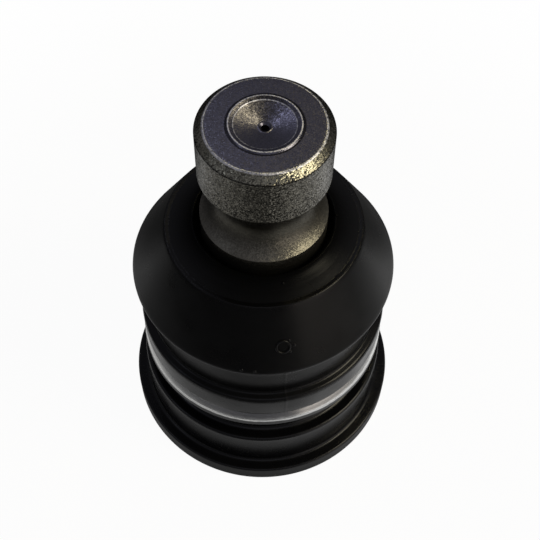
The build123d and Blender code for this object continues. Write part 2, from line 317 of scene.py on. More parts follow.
# Boot: skirt that stands on the housing, and the flexible part above it
bootShape = {
    "skirtInner": 21.75,
    "skirtBottom": bootLow.z,
    "skirtRadius": 23.3,
    "skirtChamfer": (0.4, 1.4),    # width and height
    "skirtTop": 29.65,
    "waistInner": 19.6,
    "waistRadius": 21.6,
    "waistTop": 38.05,
    "bulgeRadius": bootHigh.x + 0.05,
    "bulgeHeight": 41.45,
    "bulgeUnder": (0.35, 0.75),    # width and height of its blunt edge
    "creaseRadius": 17.3,
    "creaseWidth": 0.8,
    "creaseHeight": 52.8,
    "domeRise": 0.6,    # of the top between crease and lip
    "lipRadius": 12.2,
    "lipTop": bootHigh.z,
    "recessDepth": 2.1,
    "bore": 11.15,
    "neckBottom": 46.6,
    "neckRadius": 12.55,
    "wall": 2.0,
    "seamAngle": math.radians(-79),
    "seamHeight": 0.05,
    "seamWidth": 0.22,
    "waves": ((0.07, 2, 0.6, 0), (0.05, 3, 2.1, 0.1)),    # size, count round the boot, phase, turn per mm
    "waveFade": 4,    # mm above the skirt, which is round
    "hairline": 0.03,    # between the skirt and the part that bends
}


def bootWaver(radius, height, angle):
    # A moulded boot is never quite round: slow waves, and the mould's parting line
    s = bootShape
    free = min(1, max(0, (height - s["skirtTop"]) / s["waveFade"]))
    wave = 0
    for size, count, phase, turn in s["waves"]:
        wave += size * math.sin(count * angle + phase + height * turn)
    if radius > s["lipRadius"] + 1:
        radius += free * wave
    for seam in (s["seamAngle"], s["seamAngle"] + math.pi):
        away = math.atan2(math.sin(angle - seam), math.cos(angle - seam)) * radius
        if radius > s["waistRadius"] - 0.6 and height < s["bulgeHeight"] - 1:
            radius += s["seamHeight"] * math.exp(-((away / s["seamWidth"]) ** 2))
    return radius, height


def makeBoot():
    s = bootShape
    angles = evenAngles(300, (s["seamAngle"], s["seamAngle"] + math.pi), 0.03, 8)
    crease = s["creaseRadius"] - s["creaseWidth"]
    chamferWidth, chamferHeight = s["skirtChamfer"]
    underWidth, underHeight = s["bulgeUnder"]
    outline = turnedProfile([
        (s["skirtInner"], s["skirtBottom"], 0),
        (s["skirtRadius"] - chamferWidth, s["skirtBottom"], 0.3),
        (s["skirtRadius"], s["skirtBottom"] + chamferHeight, 1.0),
        (s["skirtRadius"], s["skirtTop"] - 0.1, 0.8),
        (s["waistRadius"] + 0.05, s["skirtTop"] + 0.35, 0.7),
        (s["waistRadius"] + 0.12, s["skirtTop"] + 2.8, 2.5),
        (s["waistRadius"] + 0.1, s["waistTop"] - 0.9, 2.5),
        (s["bulgeRadius"] - underWidth, s["bulgeHeight"] - underHeight, 0.4),
        (s["bulgeRadius"], s["bulgeHeight"], 0.7),
        (s["creaseRadius"], s["creaseHeight"], 0.3),
        (crease, s["creaseHeight"] - 0.1, 0.3),
        ((s["creaseRadius"] + s["lipRadius"]) / 2, s["creaseHeight"] + s["domeRise"], 3.0),
        (s["lipRadius"], s["lipTop"], 0.45),
        (s["bore"], s["lipTop"] - s["recessDepth"], 0.2),
        (s["bore"], s["neckBottom"], 0.3),
        (s["neckRadius"], s["neckBottom"], 0.3),
        (s["neckRadius"], s["creaseHeight"] - s["wall"], 0.5),
        (crease, s["creaseHeight"] - s["wall"] - 0.2, 1.5),
        (s["bulgeRadius"] - s["wall"], s["bulgeHeight"] - 0.4, 1.0),
        (s["waistInner"], s["waistTop"] - 0.4, 1.0),
        (s["waistInner"], s["skirtTop"] - 0.3, 0),
        (s["skirtInner"], s["skirtTop"] - 0.3, 0),
    ], run=0.7)
    # Cut at the foot of the waist, outside and inside
    waist, foot = s["waistRadius"] + 0.2, s["skirtTop"]
    outerCut = next(i for i, (radius, height) in enumerate(outline) if height >= foot and radius < waist)
    innerCut = next(i for i in range(len(outline) - 1, 0, -1) if outline[i][1] > foot - 0.2)
    base = lathe("bootSkirt", outline[:outerCut + 1] + outline[innerCut:], angles, bootWaver, closed=True)
    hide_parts("dust_boot")
    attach(base, "housing_assembly")
    flexible = outline[outerCut:innerCut + 1]
    for i in (0, -1):
        flexible[i] = (flexible[i][0], flexible[i][1] + s["hairline"])
    upper = lathe("bootBellows", flexible, angles, bootWaver, closed=True)
    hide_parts("dust_boot")
    return base, upper


# Plain mould marks on the boot: one ring with three pips beside it, and the stubs of vent holes
markShape = {
    "ringRadius": 1.15,
    "ringAngle": -80.5,    # degrees round the boot, as in the pips
    "ringAlong": 0.60,    # share of the way down the cone
    "cord": 0.22,
    "rise": 0.24,
    "pipRadius": 0.29,
    "pipRise": 0.6,    # share of its radius
    "pipSunk": 0.05,
    "pips": ((-77.4, 0.52), (-75.2, 0.60), (-77.4, 0.68), (-93.0, 0.955), (-98.5, 0.95)),    # angle, along
    "lipPips": ((2.0, 12.5, 54.52), (-76.0, 13.6, 53.95)),    # angle, radius and height
    "lipSlope": 0.25,    # fall of the boot's top outwards from the lip
}


def makeMarks():
    s, mark = bootShape, markShape
    top = Vector((s["creaseRadius"], s["creaseHeight"]))
    foot = Vector((s["bulgeRadius"], s["bulgeHeight"]))
    outward = Vector((foot.y - top.y, top.x - foot.x)).normalized() * -1
    points, faces = [], []

    def onCone(angle, along, lift):
        radius, height = bootWaver(*(top.lerp(foot, along) + outward * lift), angle)
        return (radius * math.cos(angle) * mm, radius * math.sin(angle) * mm, height * mm)

    def addRows(rows, closed):
        first, width = len(points), len(rows[0])
        for row in rows:
            points.extend(row)
        for i in range(len(rows) if closed else len(rows) - 1):
            for k in range(width):
                a, b = first + i * width, first + (i + 1) % len(rows) * width
                faces.append((a + k, a + (k + 1) % width, b + (k + 1) % width, b + k))
        return first

    def addPip(place):
        # A low dome; place(across, along, lift) sets it on the boot
        steps = 16
        rows = []
        for tilt in (0, 0.35, 0.7, 1.05, 1.4):
            out = mark["pipRadius"] * math.cos(tilt)
            lift = mark["pipRadius"] * math.sin(tilt) * mark["pipRise"] - mark["pipSunk"]
            turns = [math.tau * k / steps for k in range(steps)]
            rows.append([place(math.cos(a) * out, math.sin(a) * out, lift) for a in turns])
        first = addRows(rows, False)
        faces.append(tuple(range(first + steps - 1, first - 1, -1)))
        faces.append(tuple(range(len(points) - steps, len(points))))

    slope = (foot - top).length
    middle = math.radians(mark["ringAngle"])
    reach = top.lerp(foot, mark["ringAlong"]).x
    ringSteps, cordSteps = 48, 8
    rows = []
    for i in range(ringSteps):
        turn = math.tau * i / ringSteps
        row = []
        for k in range(cordSteps):
            tilt = math.tau * k / cordSteps
            out = mark["ringRadius"] + mark["cord"] * math.cos(tilt)
            angle = middle + out * math.cos(turn) / reach
            along = mark["ringAlong"] + out * math.sin(turn) / slope
            row.append(onCone(angle, along, mark["rise"] * math.sin(tilt)))
        rows.append(row)
    addRows(rows, True)
    for angle, along in mark["pips"]:
        at = math.radians(angle)
        addPip(lambda u, v, w: onCone(at + u / reach, along + v / slope, w))
    for angle, radius, height in mark["lipPips"]:
        at = math.radians(angle)
        addPip(lambda u, v, w: ((radius + v) * math.cos(at + u / radius) * mm,
                                (radius + v) * math.sin(at + u / radius) * mm,
                                (height - mark["lipSlope"] * v + w) * mm))
    marks = addObject("bootMarks", points, faces)
    marks.data.shade_smooth()
    return marks


housingBody = makeHousing()
ballStud = makeStud()
bootSkirt, bootBellows = makeBoot()
bootMarks = makeMarks()
for piece in (bootBellows, bootMarks):
    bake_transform(piece)
print("stud, boot and housing turned")


def linear(hexColour):
    # sRGB hex to the linear values that shaders want
    values = [int(hexColour[i:i + 2], 16) / 255 for i in (1, 3, 5)]
    return [v / 12.92 if v <= 0.04045 else ((v + 0.055) / 1.055) ** 2.4 for v in values] + [1.0]


def addNode(tree, kind, inputs=None, **settings):
    # inputs maps a socket's name or number to a value, to an output, or to a node, for its first output
    node = tree.nodes.new("ShaderNode" + kind)
    for key, value in settings.items():
        setattr(node, key, value)
    for key, value in (inputs or {}).items():
        if isinstance(value, bpy.types.Node):
            value = value.outputs[0]
        if isinstance(value, bpy.types.NodeSocket):
            tree.links.new(value, node.inputs[key])
        else:
            node.inputs[key].default_value = value
    return node


def newMaterial(name):
    material = bpy.data.materials.new(name)
    material.use_nodes = True
    material.node_tree.nodes.clear()
    return material, material.node_tree


def splitPlace(tree, place):
    # A place's X, Y and Z, and its distance from the object's axis
    apart = addNode(tree, "SeparateXYZ", {0: place}).outputs
    flat = addNode(tree, "CombineXYZ", {0: apart["X"], 1: apart["Y"]})
    radius = addNode(tree, "VectorMath", {0: flat}, operation="LENGTH")
    return apart, radius.outputs["Value"]


noiseSpan = {"From Min": 0.3, "From Max": 0.7}    # where nearly all of a noise lies


def toSpan(span):
    return {"To Min": span[0], "To Max": span[1]}


def bumpOf(look):
    strength, depth = look["bump"]
    return {"Strength": strength, "Distance": depth * mm}


def perMetre(sizeMm):
    # A noise or Voronoi scale for features of a real size
    return 1 / (sizeMm * mm)


blastedSteelLook = {
    "steel": "#6b685f",
    "face": "#5a5964",
    "bevel": "#888577",
    # oil: dark oil that also paints the shade in the groove under the head
    "oilAndShade": "#23211a",
    "smut": "#353430",
    # rubbed: worn bright steel on the turned edges, whose colour also paints highlight lines there
    "rubbedAndHighlight": "#d8d8de",
    # a dark colour painted as shade in the corner outside the bead and at the foot of the bevel
    "paintedShade": "#0c0b0b",
    "gritMm": 0.17,    # dents of fine steel shot
    "grainMm": 0.35,    # pits are finer: drawn as coarse as they need to show
    "patchMm": 4,    # of oil
    "sideTilt": 0.30,    # how far the shot turned each facet
    "bevelTilt": 0.16,
    "faceTilt": 0.05,
    "grooveTilt": 0.03,
    "footTilt": 0.10,    # beside the boot
    "faceRadius": (9.3, 9.5),    # from the plain face to its rubbed edge
    "topDepth": 3,    # mm: deeper than the dish and its drilling
    "ringDepth": 0.25,
    "grooveFade": (0.5, 0.2),    # mm above and below the head's lower edge
    "wiped": (2.2, 5.2),    # mm above the groove's foot: blasted grain below, wiped with oil above, where the dark oil also paints the shade under the head
    "roughness": (0.22, 0.34),
    "grooveRoughness": 0.40,
    "rubbedAndHighlightRoughness": 0.55,
    "rubbedAndHighlightRings": ((9.62, 0.17), (5.72, 0.11), (4.94, 0.07)),    # radius and half width in mm
    # painted shade: a dark ring outside the bead, radius and half width in mm
    "paintedShadeRings": ((6.16, 0.14),),
    "paintedShadeLine": (0.05, 0.12),    # painted shade line: mm below the bevel, and its half height
    "paintedShadeCover": 0.8,
    "smutRange": (0.15, 0.6),
    "calmShare": 0.7,    # how much less smut lies on the smooth face and in the groove
    "rubbedAndHighlightRange": (0.35, 0.6, 0.25),    # from, to and least share left
    "oilAndShadeRange": (0.4, 0.65, 0.7),
    "bump": (0.5, 0.02),    # strength, and depth in mm
}


def blastedSteel():
    # Forged steel, shot-blasted and oiled: dark grey, coarse sparkling grain, rubbed bright on its edges,
    # where the bright colour also paints highlight lines
    look, s = blastedSteelLook, studShape
    faceHeight = (studHigh.z - s["beadHeight"]) * mm
    material, tree = newMaterial("blastedSteel")
    place = addNode(tree, "TexCoord").outputs["Object"]
    apart, radius = splitPlace(tree, place)
    inner, outer = look["faceRadius"]
    grooveFrom, grooveTo = look["grooveFade"]
    top = addNode(tree, "Math", {
        0: apart["Z"], 1: faceHeight - look["topDepth"] * mm}, operation="GREATER_THAN")
    onFace = addNode(tree, "MapRange", {
        "Value": radius, "From Min": outer * mm, "From Max": inner * mm, "To Max": top})
    onBevel = addNode(tree, "MapRange", {
        "Value": apart["Z"], "From Min": faceHeight - s["bevelHeight"] * mm, "From Max": faceHeight - mm})
    inGroove = addNode(tree, "MapRange", {
        "Value": apart["Z"],
        "From Min": (s["headBottom"] + grooveFrom) * mm, "From Max": (s["headBottom"] - grooveTo) * mm})
    wipedFrom, wipedTo = look["wiped"]
    wiped = addNode(tree, "MapRange", {
        "Value": apart["Z"],
        "From Min": (s["grooveBottom"] + wipedFrom) * mm, "From Max": (s["grooveBottom"] + wipedTo) * mm})
    grit = addNode(tree, "TexVoronoi", {"Vector": place, "Scale": perMetre(look["gritMm"])})
    grit = grit.outputs["Color"]
    grain = addNode(tree, "TexNoise", {
        "Vector": place, "Scale": perMetre(look["grainMm"]), "Detail": 2.0, "Roughness": 0.7})
    grain = grain.outputs["Fac"]
    patch = addNode(tree, "TexNoise", {
        "Vector": place, "Scale": perMetre(look["patchMm"]), "Detail": 4.0, "Roughness": 0.6})

    # Each dent of the blasting is a small facet of its own
    groove = addNode(tree, "Mix", {"Factor": wiped, "A": 2 * look["footTilt"], "B": 2 * look["grooveTilt"]})
    tilt = 2 * look["sideTilt"]
    for mask, other in (
            (onBevel, 2 * look["bevelTilt"]),
            (onFace, 2 * look["faceTilt"]),
            (inGroove, groove)):
        tilt = addNode(tree, "Mix", {"Factor": mask, "A": tilt, "B": other})
    centred = addNode(tree, "VectorMath", {0: grit, 1: (0.5, 0.5, 0.5)}, operation="SUBTRACT")
    facet = addNode(tree, "VectorMath", {0: centred, "Scale": tilt}, operation="SCALE")
    normal = addNode(tree, "NewGeometry").outputs["Normal"]
    turned = addNode(tree, "VectorMath", {0: normal, 1: facet}, operation="ADD")
    turned = addNode(tree, "VectorMath", {0: turned}, operation="NORMALIZE")
    bump = addNode(tree, "Bump", {"Height": grain, "Normal": turned, **bumpOf(look)})

    # Oil lies in patches in the groove, and its dark colour, fullest under the head, also paints the shade
    # there
    low, high, least = look["oilAndShadeRange"]
    oilyAndShaded = addNode(tree, "MapRange", {
        "Value": patch.outputs["Fac"], "From Min": low, "From Max": high, "To Min": least})
    for mask in (inGroove, wiped):
        oilyAndShaded = addNode(tree, "Math", {0: oilyAndShaded, 1: mask}, operation="MULTIPLY")
    base = linear(look["steel"])
    for mask, other in ((onBevel, "bevel"), (onFace, "face"), (oilyAndShaded, "oilAndShade")):
        base = addNode(tree, "Mix", {"Factor": mask, "A": base, "B": linear(look[other])},
                       data_type="RGBA").outputs["Result"]

    # Smut in the dents, less on the smooth face and in the groove
    calm = addNode(tree, "Math", {0: onFace, 1: inGroove}, operation="MAXIMUM")
    calm = addNode(tree, "Math", {0: calm, 1: look["calmShare"]}, operation="MULTIPLY")
    low, high = look["smutRange"]
    speck = addNode(tree, "MapRange", {"Value": grit, "From Min": low, "From Max": high})
    speck = addNode(tree, "Math", {0: speck, 1: calm}, operation="MAXIMUM")
    colour = addNode(tree, "Mix", {"Factor": speck, "A": linear(look["smut"]), "B": base},
                     data_type="RGBA").outputs["Result"]

    # Handling has rubbed the turned edges bright, and their bright colour also paints highlight lines;
    # painted shade darkens the corners beside them
    def rings(widths):
        found = 0.0
        for middle, half in widths:
            near = addNode(tree, "Math", {0: radius, 1: middle * mm, 2: half * mm}, operation="COMPARE")
            found = addNode(tree, "Math", {0: found, 1: near}, operation="MAXIMUM")
        onTop = addNode(tree, "Math", {
            0: apart["Z"], 1: faceHeight - look["ringDepth"] * mm}, operation="GREATER_THAN")
        return addNode(tree, "Math", {0: found, 1: onTop}, operation="MULTIPLY")

    # Rubbed edges: worn steel, made bright enough to paint highlight lines on the face's edge and on the
    # bead
    low, high, least = look["rubbedAndHighlightRange"]
    broken = addNode(tree, "MapRange", {
        "Value": grain, "From Min": low, "From Max": high, "To Min": least})
    rubbedAndHighlight = addNode(tree, "Math", {0: rings(look["rubbedAndHighlightRings"]), 1: broken}, operation="MULTIPLY")
    # Painted shade: a thin dark line at the foot of the bevel and a dark ring outside the bead
    below, half = look["paintedShadeLine"]
    bevelFoot = addNode(tree, "Math", {
        0: apart["Z"], 1: faceHeight - (s["bevelHeight"] + below) * mm, 2: half * mm},
        operation="COMPARE")
    paintedShade = addNode(tree, "Math", {0: rings(look["paintedShadeRings"]), 1: bevelFoot}, operation="MAXIMUM")
    paintedShade = addNode(tree, "Math", {0: paintedShade, 1: look["paintedShadeCover"]}, operation="MULTIPLY")
    for mask, other in ((rubbedAndHighlight, "rubbedAndHighlight"), (paintedShade, "paintedShade")):
        colour = addNode(tree, "Mix", {"Factor": mask, "A": colour, "B": linear(look[other])},
                         data_type="RGBA").outputs["Result"]
    rough = addNode(tree, "MapRange", {"Value": grain, **noiseSpan, **toSpan(look["roughness"])})
    for mask, other in ((inGroove, "grooveRoughness"), (rubbedAndHighlight, "rubbedAndHighlightRoughness")):
        rough = addNode(tree, "Mix", {"Factor": mask, "A": rough, "B": look[other]})
    shader = addNode(tree, "BsdfPrincipled", {
        "Base Color": colour,
        "Metallic": 1.0,
        "Roughness": rough,
        "Normal": bump,
    })
    addNode(tree, "OutputMaterial", {"Surface": shader})
    return material


electrocoatLook = {
    "black": "#060607",
    # bare steel of the shoulder's edge, made bright so that it also paints a highlight line
    "steel": "#dededc",
    "peelMm": 1.6,
    "dustMm": 4,
    "raggedMm": 1.5,
    "roughness": (0.24, 0.30),
    "level": 0.25,
    "steelRoughness": 0.25,
    "raggedReach": 0.3,
    "edgeFrom": (20.95, 21.30),    # the shoulder's edge is bare above these heights in mm
    "edgeTo": (21.95, 22.35),    # and partly bare above these
    "bevelTo": 22.95,
    "bump": (0.3, 0.01),
    "bareRadius": 22.7,
    "wearAndHighlight": (-16, -2, 0.8, 0.55),    # one side is barer, partly from handling and partly as a painted highlight that is brighter there: X from and to, share bare at each
}


def electrocoat():
    # Steel dipped in black electrocoat and baked: thin, glossy, faint orange peel, bare on the shoulder,
    # where the bright bare steel also paints a highlight line
    look = electrocoatLook
    material, tree = newMaterial("electrocoat")
    place = addNode(tree, "TexCoord").outputs["Object"]
    apart, radius = splitPlace(tree, place)
    peel = addNode(tree, "TexNoise", {"Vector": place, "Scale": perMetre(look["peelMm"]), "Detail": 1.0})
    dust = addNode(tree, "TexNoise", {"Vector": place, "Scale": perMetre(look["dustMm"]), "Detail": 1.0})
    bump = addNode(tree, "Bump", {"Height": peel.outputs["Fac"], **bumpOf(look)})
    rough = addNode(tree, "MapRange", {
        "Value": dust.outputs["Fac"], **noiseSpan, **toSpan(look["roughness"])})

    # The coat's edge beside the bare steel is ragged
    ragged = addNode(tree, "TexNoise", {
        "Vector": place, "Scale": perMetre(look["raggedMm"]), "Detail": 5.0}).outputs["Fac"]
    reach = look["raggedReach"] * mm
    shift = addNode(tree, "MapRange", {"Value": ragged, **toSpan((-reach, reach))})
    height = addNode(tree, "Math", {0: apart["Z"], 1: shift}, operation="ADD")
    low, high = look["edgeFrom"]
    above = addNode(tree, "MapRange", {
        "Value": height, "From Min": low * mm, "From Max": high * mm},
        interpolation_type="SMOOTHSTEP")
    wearFrom, wearTo, wearMost, wearLeast = look["wearAndHighlight"]
    wearAndHighlight = addNode(tree, "MapRange", {
        "Value": apart["X"], "From Min": wearFrom * mm, "From Max": wearTo * mm,
        "To Min": wearMost, "To Max": wearLeast})
    low, high = look["edgeTo"]
    below = addNode(tree, "MapRange", {
        "Value": height, "From Min": low * mm, "From Max": high * mm,
        "To Min": 1.0, "To Max": wearAndHighlight}, interpolation_type="SMOOTHSTEP")
    end = addNode(tree, "Math", {0: apart["Z"], 1: look["bevelTo"] * mm}, operation="LESS_THAN")
    outside = addNode(tree, "Math", {0: radius, 1: look["bareRadius"] * mm}, operation="GREATER_THAN")
    # Bare steel on the shoulder's edge: worn-off coat, and a bright line that paints a highlight
    bareAndHighlight = above
    for mask in (below, end, outside):
        bareAndHighlight = addNode(tree, "Math", {0: bareAndHighlight, 1: mask}, operation="MULTIPLY")
    coat = addNode(tree, "BsdfPrincipled", {
        "Base Color": linear(look["black"]),
        "Roughness": rough,
        "Normal": bump,
        "Specular IOR Level": look["level"],
        "IOR": 1.5,
    })
    metal = addNode(tree, "BsdfPrincipled", {
        "Base Color": linear(look["steel"]),
        "Metallic": 1.0,
        "Roughness": look["steelRoughness"],
        "Normal": bump,
    })
    worn = addNode(tree, "MixShader", {0: bareAndHighlight, 1: coat, 2: metal})
    addNode(tree, "OutputMaterial", {"Surface": worn})
    return material


rubberLook = {
    "black": "#060606",
    "roughness": {"mouldedRubber": 0.30, "skirtRubber": 0.26, "sealRubber": 0.40},
    "spread": 0.05,
    "level": 0.21,
    "lipLevel": 0.03,    # the stud wears the lip dull
    "lipReach": 0.6,
    "creaseReach": 1.2,
    "greasy": (51.5, 52.8, 0.85),    # grease makes the top a little smoother: heights in mm, share
    "flowMm": 6,
    "skinMm": 0.35,
    "bump": (0.2, 0.02),
}


def mouldedRubber(name, worn=False):
    # Black chloroprene or nitrile from a polished mould: satin, with faint flow marks
    look, s = rubberLook, bootShape
    roughness = look["roughness"][name]
    material, tree = newMaterial(name)
    place = addNode(tree, "TexCoord").outputs["Object"]
    flow = addNode(tree, "TexNoise", {"Vector": place, "Scale": perMetre(look["flowMm"]), "Detail": 4.0})
    skin = addNode(tree, "TexNoise", {"Vector": place, "Scale": perMetre(look["skinMm"]), "Detail": 3.0})
    bump = addNode(tree, "Bump", {"Height": skin.outputs["Fac"], **bumpOf(look)})
    rough = addNode(tree, "MapRange", {
        "Value": flow.outputs["Fac"], **noiseSpan,
        **toSpan((roughness - look["spread"], roughness + look["spread"]))})
    level = look["level"]
    if worn:    # only the boot itself reaches the stud
        apart, radius = splitPlace(tree, place)
        low, high, share = look["greasy"]
        greasy = addNode(tree, "MapRange", {
            "Value": apart["Z"], "From Min": low * mm, "From Max": high * mm,
            "To Min": 1.0, "To Max": share})
        rough = addNode(tree, "Math", {0: rough, 1: greasy}, operation="MULTIPLY")
        level = addNode(tree, "MapRange", {
            "Value": radius,
            "From Min": (s["lipRadius"] + look["lipReach"]) * mm,
            "From Max": (s["creaseRadius"] - look["creaseReach"]) * mm,
            "To Min": look["lipLevel"], "To Max": look["level"]})
    shader = addNode(tree, "BsdfPrincipled", {
        "Base Color": linear(look["black"]),
        "Roughness": rough,
        "Normal": bump,
        "Specular IOR Level": level,
        "IOR": 1.5,
    })
    addNode(tree, "OutputMaterial", {"Surface": shader})
    return material


acetalLook = {
    "white": "#dcd9cf",
    "cloud": "#cfcbbf",
    "cloudMm": 6,
    "toolMm": 0.25,
    "roughness": (0.28, 0.40),
    "bump": (0.3, 0.01),
}


def mouldedAcetal():
    # Natural acetal, injection moulded: milky off-white and slightly waxy, with faint tool lines around it
    look = acetalLook
    material, tree = newMaterial("mouldedAcetal")
    place = addNode(tree, "TexCoord").outputs["Object"]
    apart = addNode(tree, "SeparateXYZ", {0: place}).outputs
    rise = addNode(tree, "Math", {0: apart["Z"], 1: perMetre(look["toolMm"])}, operation="MULTIPLY")
    lines = addNode(tree, "TexNoise", {"W": rise, "Scale": 1.0, "Detail": 1.0}, noise_dimensions="1D")
    cloud = addNode(tree, "TexNoise", {
        "Vector": place, "Scale": perMetre(look["cloudMm"]), "Detail": 3.0}).outputs["Fac"]
    tint = addNode(tree, "MapRange", {"Value": cloud, **noiseSpan})
    colour = addNode(tree, "Mix", {"Factor": tint, "A": linear(look["cloud"]), "B": linear(look["white"])},
                     data_type="RGBA").outputs["Result"]
    bump = addNode(tree, "Bump", {"Height": lines.outputs["Fac"], **bumpOf(look)})
    rough = addNode(tree, "MapRange", {"Value": cloud, **noiseSpan, **toSpan(look["roughness"])})
    shader = addNode(tree, "BsdfPrincipled", {
        "Base Color": colour,
        "Roughness": rough,
        "Normal": bump,
        "IOR": 1.48,
    })
    addNode(tree, "OutputMaterial", {"Surface": shader})
    return material


zincLook = {
    "zinc": "#a9abad",
    "stain": "#7d7a72",
    "spangleMm": 2.2,
    "rollingMm": (6, 0.15, 6),
    "stainRange": (0.42, 0.72, 0.3),    # from, to and most share
    "roughness": (0.26, 0.42),
    "bump": (0.3, 0.01),
}


def zincPlatedSteel():
    # Pressed steel, zinc plated: cool pale grey, cloudy, with fine rolling lines
    look = zincLook
    material, tree = newMaterial("zincPlatedSteel")
    place = addNode(tree, "TexCoord").outputs["Object"]
    rollingScale = tuple(perMetre(size) for size in look["rollingMm"])
    stretched = addNode(tree, "VectorMath", {0: place, 1: rollingScale}, operation="MULTIPLY")
    rolled = addNode(tree, "TexNoise", {"Vector": stretched, "Scale": 1.0, "Detail": 2.0})
    cloud = addNode(tree, "TexNoise", {
        "Vector": place, "Scale": perMetre(look["spangleMm"]), "Detail": 4.0}).outputs["Fac"]
    low, high, most = look["stainRange"]
    mask = addNode(tree, "MapRange", {
        "Value": cloud, "From Min": low, "From Max": high, "To Max": most})
    colour = addNode(tree, "Mix", {"Factor": mask, "A": linear(look["zinc"]), "B": linear(look["stain"])},
                     data_type="RGBA").outputs["Result"]
    rough = addNode(tree, "MapRange", {"Value": cloud, **noiseSpan, **toSpan(look["roughness"])})
    bump = addNode(tree, "Bump", {"Height": rolled.outputs["Fac"], **bumpOf(look)})
    shader = addNode(tree, "BsdfPrincipled", {
        "Base Color": colour,
        "Metallic": 1.0,
        "Roughness": rough,
        "Normal": bump,
    })
    addNode(tree, "OutputMaterial", {"Surface": shader})
    return material


springLook = {
    "phosphate": "#6b6a64",
    "crystal": "#4c4d50",
    "crystalMm": 0.3,    # real crystals are finer: drawn as coarse as they need to show
    "crystalRange": (0.35, 0.65),
    "roughness": (0.42, 0.58),
}


def phosphatedSteel():
    # Spring steel with a zinc phosphate skin: matt mid grey, with fine dark crystals
    look = springLook
    material, tree = newMaterial("phosphatedSteel")
    place = addNode(tree, "TexCoord").outputs["Object"]
    cloud = addNode(tree, "TexNoise", {
        "Vector": place, "Scale": perMetre(look["crystalMm"]), "Detail": 4.0}).outputs["Fac"]
    low, high = look["crystalRange"]
    mask = addNode(tree, "MapRange", {"Value": cloud, "From Min": low, "From Max": high})
    colour = addNode(tree, "Mix", {
        "Factor": mask, "A": linear(look["phosphate"]), "B": linear(look["crystal"])},
        data_type="RGBA").outputs["Result"]
    rough = addNode(tree, "MapRange", {"Value": cloud, **noiseSpan, **toSpan(look["roughness"])})
    shader = addNode(tree, "BsdfPrincipled", {
        "Base Color": colour,
        "Metallic": 1.0,
        "Roughness": rough,
    })
    addNode(tree, "OutputMaterial", {"Surface": shader})
    return material


def dress(piece, material):
    piece.data.materials.clear()
    piece.data.materials.append(material)


steelGrey = blastedSteel()
coatBlack = electrocoat()
bootBlack = mouldedRubber("mouldedRubber", worn=True)
acetalWhite = mouldedAcetal()
springGrey = phosphatedSteel()
ringZinc = zincPlatedSteel()
dress(ballStud, steelGrey)
dress(housingBody, coatBlack)
dress(bootSkirt, mouldedRubber("skirtRubber"))
dress(bootBellows, bootBlack)
dress(bootMarks, bootBlack)
nodeFinish = {
    "housing": coatBlack,
    "ball_stud": steelGrey,
    "dust_boot": bootBlack,
    "cover_plate": coatBlack,
    "cover_seal": mouldedRubber("sealRubber"),
    "upper_bearing": acetalWhite,
    "lower_bearing": acetalWhite,
    "preload_spring": springGrey,
    "boot_base_ring": ringZinc,
    "boot_neck_ring": ringZinc,
}
for name, node in frame["nodes"].items():
    dress(node, nodeFinish[name])
print("materials made")


cameraPlace = {
    "back": 99.2,    # mm, as is the height
    "height": 191.5,
    "pitch": 57.25,    # degrees, as are yaw and roll
    "yaw": 0.73,
    "roll": 1.33,
    "lens": 65.47,
}


def makeCamera():
    s = cameraPlace
    data = bpy.data.cameras.new("camera")
    data.lens = s["lens"]
    data.sensor_width = 36
    data.clip_start = 0.01
    camera = bpy.data.objects.new("camera", data)
    turn = Matrix.Rotation(math.radians(-s["yaw"]), 4, "Z")
    tilt = Matrix.Rotation(math.radians(90 - s["pitch"]), 4, "X")
    roll = Matrix.Rotation(math.radians(s["roll"]), 4, "Z")
    place = Matrix.Translation((0, -s["back"] * mm, s["height"] * mm))
    camera.matrix_world = place @ turn @ tilt @ roll
    bpy.context.scene.collection.objects.link(camera)
    bpy.context.scene.camera = camera


floorLook = {
    "halfSize": 3.0,    # metres, as are all places and ranges here
    "drop": 0.00005,
    "matt": "#f4f4f4",
    "cameraShare": 0.96,    # white to the camera, less the object's soft shadow
    "cameraRange": (0.06, 0.16),
    "hollowRadius": 0.0435,
    "frontAt": (0, -0.085, 0),
    # In reflections, painted light and shade: what is measured, from and to, and the glow at each end
    "glow": (
        ("away", 0.026, 0.035, 0.22, 1.0),    # painted shade right beside the object
        ("away", 0.13, 0.18, 1.0, 0.08),
        ("hollow", 0.006, 0.009, 0.25, 1.0),    # in the ring where the boot keeps the light off
        ("front", 0.030, 0.052, 0.18, 1.0),    # where the object's front mirrors its own shadow
        # painted light and shade: dimmer on the left, brighter on the right where the window lamp falls
        ("x", -0.02, 0.03, 0.64, 1.0),
        ("x", 0.03, 0.12, 1.0, 1.1),
        # painted shade: dark behind the object
        ("y", 0.03, 0.05, 1.0, 0.08),
    ),
}


